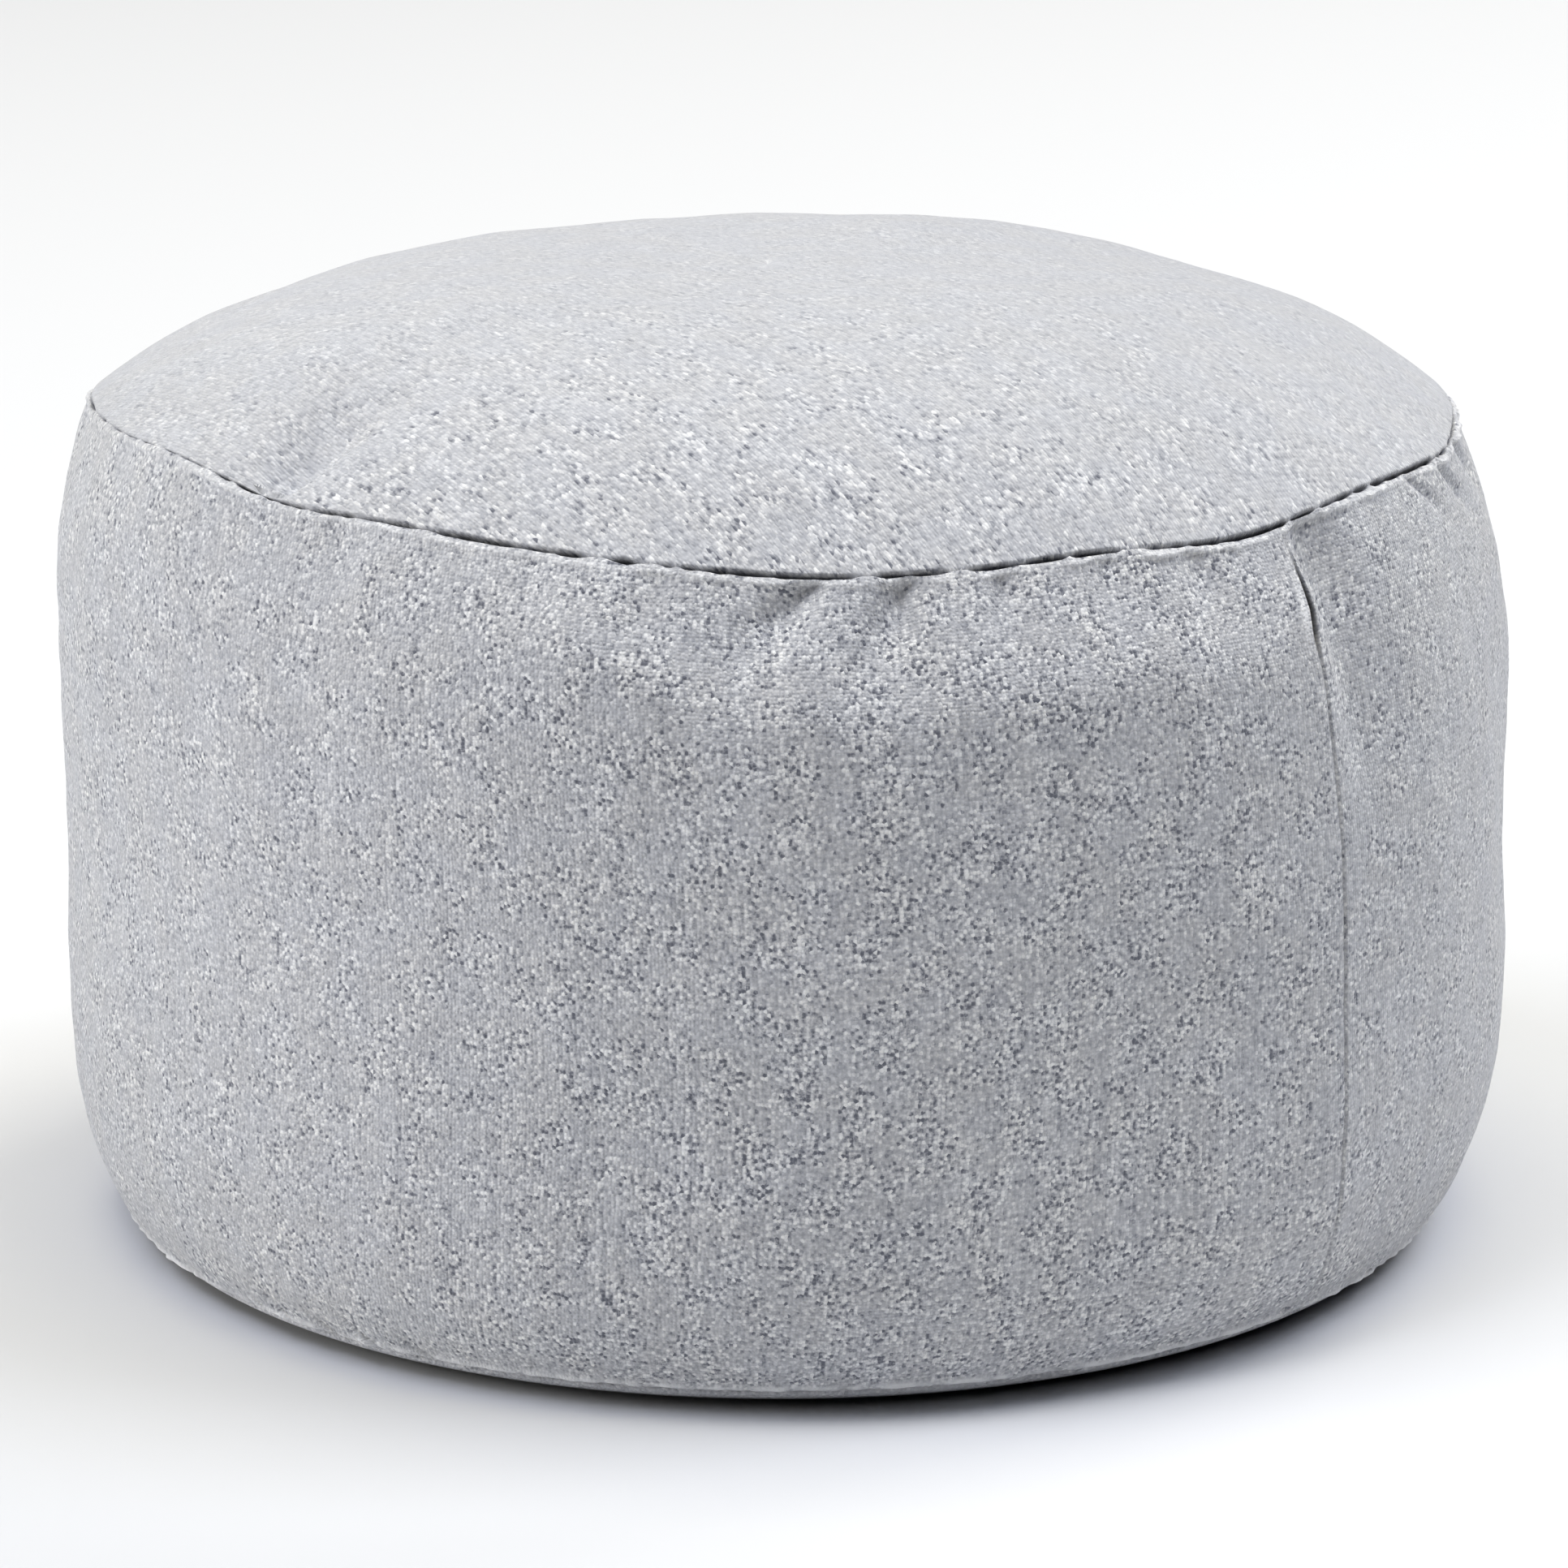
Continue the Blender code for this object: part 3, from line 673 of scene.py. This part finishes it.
def strip_places(lines, distance):
    """Where the band's points are on its flat strip: the way round from its upright seam, and down."""
    round_it = np.append(lines, lines[0] + 360) - lines[0]
    down = np.concatenate((distance, distance[:, :1]), axis=1)
    return np.stack((np.broadcast_to(round_it / 360 * pi * WIDTH, down.shape), -down), axis=-1)


# The finished faces, as rings from the top downwards. lines are the turns of their points, inward and shares
# are the rows of the top panel and of the band, top_kept and base_kept are the rows that the panels' hidden
# sides keep, and crown and sole are the middles of the two panels.
Faces = namedtuple("Faces", "lines inward shares top top_kept band base base_kept crown sole")


def cover_faces():
    """The faces of the top panel, the band and the base panel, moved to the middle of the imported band."""
    lines = mesh_lines()
    inward = rows_from_seam(TOP_SEAM_WIDTH / 2)[:-1]
    top = top_face(lines, inward)[::-1]

    length = TOP_SEAM_HEIGHT - BASE_SEAM_HEIGHT
    half = rows_from_seam(length / 2) / length
    shares = np.concatenate((half, 1 - half[-2::-1]))
    band = band_face(lines, shares)
    base = np.concatenate((rim_face(lines, RIM_SHARES), resting_face(lines)))

    low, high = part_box("side_band")
    seen = band.reshape(-1, 3)
    shift = (np.array(low + high) - seen.min(axis=0) - seen.max(axis=0)) / 2
    shift[2] = 0
    top, band, base = top + shift, band + shift, base + shift
    top_kept = np.r_[0:len(top):TOP_ROW_SKIP, len(top) - 1]
    base_kept = np.r_[0:BASE_RIM_ROWS:BASE_ROW_SKIP, BASE_RIM_ROWS:len(base):BASE_ROW_SKIP]
    return Faces(lines, inward, shares, top, top_kept, band, base, base_kept, top[0].mean(axis=0), shift)


def build_top(faces, material):
    """The top panel: its face from the crown to the seam, and its hidden side on the way back."""

    def with_back(values):
        return np.concatenate((values, values[faces.top_kept][::-1]))

    under = behind(faces.top, CLOTH_THICKNESS)[faces.top_kept]
    crown_ring = np.broadcast_to(faces.crown, (1, len(faces.lines), 3))
    reach = distance_down(np.concatenate((crown_ring, faces.top)))[1:]
    looks = {
        "PaintedShadeAndHighlight": with_back(top_shade(faces.lines, faces.inward)[::-1]),
        "Heather": with_back(panel_heather(faces.lines, faces.inward)[::-1]),
    }
    return closed_form(
        "top_cover",
        faces.crown,
        np.concatenate((faces.top, under[::-1])),
        faces.crown - UP * CLOTH_THICKNESS,
        disc_places(faces.lines, with_back(reach)),
        looks,
        material,
    )


def build_side(faces, material):
    """The band, closed by hidden cloth under the top panel and over the base panel."""
    gap = CLOTH_THICKNESS + TUCKED
    under = behind(faces.top, gap)[faces.top_kept]
    over = behind(faces.base, gap)[faces.base_kept]
    rings = np.concatenate((under, faces.band, over))
    shade = np.zeros(rings.shape[:2])
    shade[len(under):len(under) + len(faces.band)] = band_shade(faces.lines, faces.shares)
    down = distance_down(rings)
    down = down - down[len(under) + len(faces.band) // 2]
    return closed_form(
        "side_cover",
        faces.crown - UP * gap,
        rings,
        faces.sole + UP * gap,
        strip_places(faces.lines, down),
        {"PaintedShadeAndHighlight": shade, "Heather": band_heather(faces.lines, len(rings))},
        material,
    )


def build_base(faces, material):
    """The base panel: its hidden side from the middle to the seam, and its face on the way back."""

    def after_back(values):
        return np.concatenate((values[faces.base_kept][::-1], values))

    over = behind(faces.base, CLOTH_THICKNESS)[faces.base_kept]
    sole_ring = np.broadcast_to(faces.sole, (1, len(faces.lines), 3))
    reach = distance_down(np.concatenate((sole_ring, faces.base[::-1])))[1:][::-1]
    shade = np.zeros(faces.base.shape[:2])
    # Painted shade low on the rim, and a painted highlight on its upper edge
    shade[:BASE_RIM_ROWS] = rim_shade(faces.lines, RIM_SHARES)
    shade = after_back(shade)
    return closed_form(
        "base_cover",
        faces.sole + UP * CLOTH_THICKNESS,
        np.concatenate((over[::-1], faces.base)),
        faces.sole,
        disc_places(faces.lines, after_back(reach)),
        {"PaintedShadeAndHighlight": shade, "Heather": np.full(shade.shape, SIDE_HEATHER)},
        material,
    )


class Nodes:
    """Short ways to add a material's nodes and join them up."""

    def __init__(self, name):
        self.material = bpy.data.materials.new(name)
        self.material.use_nodes = True
        self.tree = self.material.node_tree
        self.shader = self.tree.nodes["Principled BSDF"]

    def add(self, kind, *inputs, **settings):
        """A node with its settings, and its inputs in order: a number, a colour, or another node's output."""
        node = self.tree.nodes.new("ShaderNode" + kind)
        for key, value in settings.items():
            setattr(node, key, value)
        for socket, value in zip(node.inputs, inputs):
            self.put(socket, value)
        return node

    def put(self, socket, value):
        if isinstance(value, bpy.types.NodeSocket):
            self.tree.links.new(value, socket)
        else:
            socket.default_value = value

    def fill(self, node, inputs):
        """Sets a node's inputs by name."""
        for key, value in inputs.items():
            self.put(node.inputs[key], value)

    def math(self, operation, *inputs):
        return self.add("Math", *inputs, operation=operation).outputs[0]

    def ramp(self, value, low, high, out_low=0.0, out_high=1.0):
        """value from low to high, as a smooth rise from out_low to out_high."""
        node = self.add("MapRange", value, low, high, out_low, out_high, interpolation_type="SMOOTHSTEP")
        return node.outputs[0]

    def mapped(self, place, turn, scale):
        """A place turned, then scaled across and along."""
        node = self.add("Mapping", place)
        self.fill(node, {"Rotation": (0, 0, turn), "Scale": (*scale, 1)})
        return node.outputs[0]

    def noise(self, place, scale, detail):
        node = self.add("TexNoise", place, noise_dimensions="2D")
        self.fill(node, {"Scale": scale, "Detail": detail})
        return node.outputs["Fac"]

    def mix(self, share, first, second, blend_type="MIX"):
        node = self.add("Mix", data_type="RGBA", blend_type=blend_type)
        self.fill(node, {"Factor": share, "A": first, "B": second})
        return node.outputs["Result"]

    def attribute(self, name):
        return self.add("Attribute", attribute_name=name).outputs["Fac"]


# Each piece's cloth: grain_turn is the warp's angle on the flat cut, dash is how many times longer than wide
# the specks are, and relief is the height of the weave
Cloth = namedtuple("Cloth", "name grain_turn dash relief")
TOP_CLOTH = Cloth("top cloth", -35, 1.8, 0.0004)
SIDE_CLOTH = Cloth("side cloth", 0, 1.0, 0.0003)
BASE_CLOTH = Cloth("base cloth", 0, 1.0, 0.0003)

YARN = 0.00125               # across one float of yarn
UNEVEN = 0.55                # 0 is floats in a plain grid, and 1 is floats anywhere
FLOAT_REACH = 0.65           # from a float's crest to the gap beside it, times YARN
SPECKS = 600.0               # soft specks of one tone to a metre
STREAKS = (420.0, 9.0)       # long streaks to a metre, across the warp and along it
PATCHES = 70.0               # patches of stronger and weaker specks to a metre
PATCH_STRENGTHS = (0.60, 1.35)
WARM_PATCHES = 45.0          # patches of warmer and cooler tone to a metre
PATCH_EDGES = (0.35, 0.65)   # the noise that is all of one kind of patch below, and of the other above
NOISE_DETAIL = 2.0
NOISE_MIDDLE = 0.5
SPECK_STRENGTH = 1.5
FLOAT_STRENGTH = 0.62
FLOAT_RARITY = 3.0           # the higher this odd power, the fewer floats stand out
STREAK_STRENGTH = 0.35
MIDDLE_TONE = 0.5            # where the specks don't show: a share of the way through the tones below
# The mix of yarn tones: share of the way from the darkest yarn to the palest, and the tone there
Tone = namedtuple("Tone", "share colour")
YARN_TONES = (
    Tone(0.00, (0.150, 0.158, 0.190, 1.0)),
    Tone(0.25, (0.380, 0.388, 0.420, 1.0)),
    Tone(0.50, (0.545, 0.550, 0.574, 1.0)),
    Tone(0.75, (0.755, 0.756, 0.768, 1.0)),
    Tone(1.00, (0.930, 0.930, 0.925, 1.0)),
)
WARM = (1.005, 1.000, 0.990, 1.0)
COOL = (0.996, 0.999, 1.005, 1.0)
GAP_COLOUR = (0.400, 0.410, 0.440, 1.0)
GAP_EDGE = 0.4               # of a float's height: below this its side goes over into the gap
GAP_STRENGTH = 0.3
# Painted shade: a near-black colour mixed into the cloth in the seams and low on the base rim
PAINTED_SHADE_COLOUR = (0.020, 0.021, 0.026, 1.0)
# Painted highlight: a pale colour mixed in on the ridges beside the seams and on the base rim's upper edge
PAINTED_HIGHLIGHT_COLOUR = (0.920, 0.920, 0.925, 1.0)
# The heights in the weave, in shares of the cloth's relief: floats from thin to full, slubs, and fine fibres
THINNEST_FLOAT = 0.35
SLUBS = 330.0                # to a metre
SLUB_DETAIL = 1.0
SLUB_HEIGHT = 0.8
FIBRES = 3000.0              # to a metre
FIBRE_HEIGHT = 0.1
CLOTH_FINISH = {
    "Roughness": 0.95,
    "Specular IOR Level": 0.2,
    "Sheen Weight": 0.25,
    "Sheen Roughness": 0.5,
}


def yarn_tones(nodes, grain, dashes, luck):
    """The yarn's colour: soft specks in patches, each float's own tone, and faint long streaks."""
    specks = nodes.math("SUBTRACT", nodes.noise(dashes, SPECKS, NOISE_DETAIL), NOISE_MIDDLE)
    patches = nodes.ramp(nodes.noise(grain, PATCHES, NOISE_DETAIL), *PATCH_EDGES, *PATCH_STRENGTHS)
    streaks = nodes.noise(nodes.mapped(grain, 0, STREAKS), 1.0, NOISE_DETAIL)
    streaks = nodes.math("SUBTRACT", streaks, NOISE_MIDDLE)
    odd = nodes.math("POWER", nodes.math("MULTIPLY_ADD", luck, 2.0, -1.0), FLOAT_RARITY)
    share = nodes.math("MULTIPLY", specks, SPECK_STRENGTH)
    share = nodes.math("MULTIPLY_ADD", odd, FLOAT_STRENGTH, share)
    share = nodes.math("MULTIPLY", share, patches)
    share = nodes.math("MULTIPLY_ADD", streaks, STREAK_STRENGTH, share)
    share = nodes.math("MULTIPLY_ADD", share, nodes.attribute("Heather"), MIDDLE_TONE)
    tones = nodes.add("ValToRGB", share)
    ramp = tones.color_ramp
    while len(ramp.elements) < len(YARN_TONES):
        ramp.elements.new(1.0)
    for element, tone in zip(ramp.elements, YARN_TONES):
        element.position = tone.share
        element.color = tone.colour
    return tones.outputs[0]


def cloth_colour(nodes, grain, tones, crest):
    """The cloth's colour: yarn tones, the gaps between floats, slow warm and cool patches, painted shade at
    the seams and low on the base rim, and painted highlights on the ridges beside them.
    """
    cloth = nodes.mix(nodes.ramp(crest, GAP_EDGE, 0.0, 0.0, GAP_STRENGTH), tones, GAP_COLOUR)
    warmth = nodes.ramp(nodes.noise(grain, WARM_PATCHES, NOISE_DETAIL), *PATCH_EDGES)
    cloth = nodes.mix(1.0, cloth, nodes.mix(warmth, COOL, WARM), blend_type="MULTIPLY")
    # Painted shade where the mesh's value is above nothing, and painted highlight where it is below
    painted_shade = nodes.attribute("PaintedShadeAndHighlight")
    painted_highlight = nodes.math("MULTIPLY", painted_shade, -1.0)
    cloth = nodes.mix(painted_shade, cloth, PAINTED_SHADE_COLOUR)
    return nodes.mix(painted_highlight, cloth, PAINTED_HIGHLIGHT_COLOUR)


def weave_relief(nodes, grain, dashes, crest, luck, relief):
    """The weave's relief: round floats of uneven height, slubs, and fine fibres."""
    thick = nodes.math("MULTIPLY_ADD", luck, 1 - THINNEST_FLOAT, THINNEST_FLOAT)
    height = nodes.math("MULTIPLY", crest, thick)
    height = nodes.math("MULTIPLY_ADD", nodes.noise(dashes, SLUBS, SLUB_DETAIL), SLUB_HEIGHT, height)
    height = nodes.math("MULTIPLY_ADD", nodes.noise(grain, FIBRES, NOISE_DETAIL), FIBRE_HEIGHT, height)
    bump = nodes.add("Bump")
    nodes.fill(bump, {"Strength": 1.0, "Distance": relief, "Height": height})
    return bump.outputs[0]


def heathered_cloth(cloth):
    """Loosely woven cloth of mixed pale and blue-grey yarn. The mesh says where its specks show strongly."""
    nodes = Nodes(cloth.name)
    uv = nodes.add("UVMap", uv_map="Cloth").outputs[0]
    grain = nodes.mapped(uv, radians(cloth.grain_turn), (1, 1))
    dashes = nodes.mapped(grain, 0, (1, 1 / cloth.dash))

    # Floats of yarn: uneven cells on the grain, each with its own luck for its tone and for its height
    floats = nodes.add("TexVoronoi", dashes, voronoi_dimensions="2D")
    nodes.fill(floats, {"Scale": 1 / YARN, "Randomness": UNEVEN})
    crest = nodes.ramp(floats.outputs["Distance"], FLOAT_REACH, 0.0)
    lucks = nodes.add("SeparateColor", floats.outputs["Color"]).outputs

    tones = yarn_tones(nodes, grain, dashes, lucks[0])
    colour = cloth_colour(nodes, grain, tones, crest)
    normal = weave_relief(nodes, grain, dashes, crest, lucks[1], cloth.relief)
    nodes.fill(nodes.shader, {"Base Color": colour, "Normal": normal, **CLOTH_FINISH})
    return nodes.material


FLOOR_RADIUS = 30
FLOOR_CORNERS = 96
FLOOR_HEIGHT = -0.0002       # just below the part's underside
FLOOR_FINISH = {
    "Base Color": (0.775, 0.780, 0.790, 1.0),
    "Roughness": 1.0,
    "Specular IOR Level": 0.0,
}

# The lamps: square boxes at a turn, and at rise degrees above the horizon
SoftBox = namedtuple("SoftBox", "name turn rise width watts colour")
SOFT_BOXES = (
    SoftBox("above", 0, 89, 4.0, 220, (1.0, 0.955, 0.780)),
    SoftBox("front_left", -55, 58, 2.8, 146, (0.805, 0.848, 1.0)),
    SoftBox("right", 90, 58, 2.8, 156, (0.795, 0.845, 1.0)),
    SoftBox("low_left", -90, 10, 2.8, 178, (1.0, 0.985, 0.95)),
    SoftBox("back_right", 135, 35, 2.8, 145, (1.0, 0.985, 0.95)),
)
LIGHT_DISTANCE = 6.0
LIGHT_AIM = Vector((0, 0, 0.15))
SKY = 0.0                    # the lamps give all of the light

# The camera, at the photograph's viewing angle
CAMERA_TARGET = Vector((-0.0008, 0.0, 0.1472))
CAMERA_DISTANCE = 2.6
CAMERA_RISE = 15.84
LENS = 172.12
SENSOR = 36.0


def studio_floor():
    nodes = Nodes("pale floor")
    nodes.fill(nodes.shader, FLOOR_FINISH)
    bpy.ops.mesh.primitive_circle_add(
        vertices=FLOOR_CORNERS, radius=FLOOR_RADIUS, fill_type="NGON", location=(0, 0, FLOOR_HEIGHT))
    floor = bpy.context.object
    floor.name = "studio_floor"
    floor.data.materials.append(nodes.material)


def stand(name, data, target, turn, rise, distance):
    """A lamp or camera that looks at its target from a turn, from rise degrees above the horizon."""
    level = cos(radians(rise))
    out = Vector((sin(radians(turn)) * level, -cos(radians(turn)) * level, sin(radians(rise))))
    thing = bpy.data.objects.new(name, data)
    thing.location = target + out * distance
    thing.rotation_euler = (target - thing.location).to_track_quat("-Z", "Y").to_euler()
    bpy.context.scene.collection.objects.link(thing)
    return thing


def studio_light():
    for box in SOFT_BOXES:
        light = bpy.data.lights.new(box.name, "AREA")
        light.shape = "SQUARE"
        light.size = box.width
        light.energy = box.watts
        light.color = box.colour
        stand(box.name, light, LIGHT_AIM, box.turn, box.rise, LIGHT_DISTANCE)
    world = bpy.data.worlds.new("studio")
    world.use_nodes = True
    world.node_tree.nodes["Background"].inputs["Strength"].default_value = SKY
    bpy.context.scene.world = world


def studio_camera():
    data = bpy.data.cameras.new("camera")
    data.lens = LENS
    data.sensor_width = SENSOR
    bpy.context.scene.camera = stand("camera", data, CAMERA_TARGET, 0, CAMERA_RISE, CAMERA_DISTANCE)


def main():
    bpy.context.scene.view_settings.view_transform = "Standard"
    studio_camera()
    studio_light()
    studio_floor()

    faces = cover_faces()
    top = build_top(faces, heathered_cloth(TOP_CLOTH))
    base = build_base(faces, heathered_cloth(BASE_CLOTH))
    side = build_side(faces, heathered_cloth(SIDE_CLOTH))
    for piece, node, slot in (
        (top, "top_panel", "cover_cloth"),
        (side, "side_band", "cover_cloth"),
        (base, "base_panel", "base_cloth"),
    ):
        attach(piece, "root")
        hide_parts(node)


main()
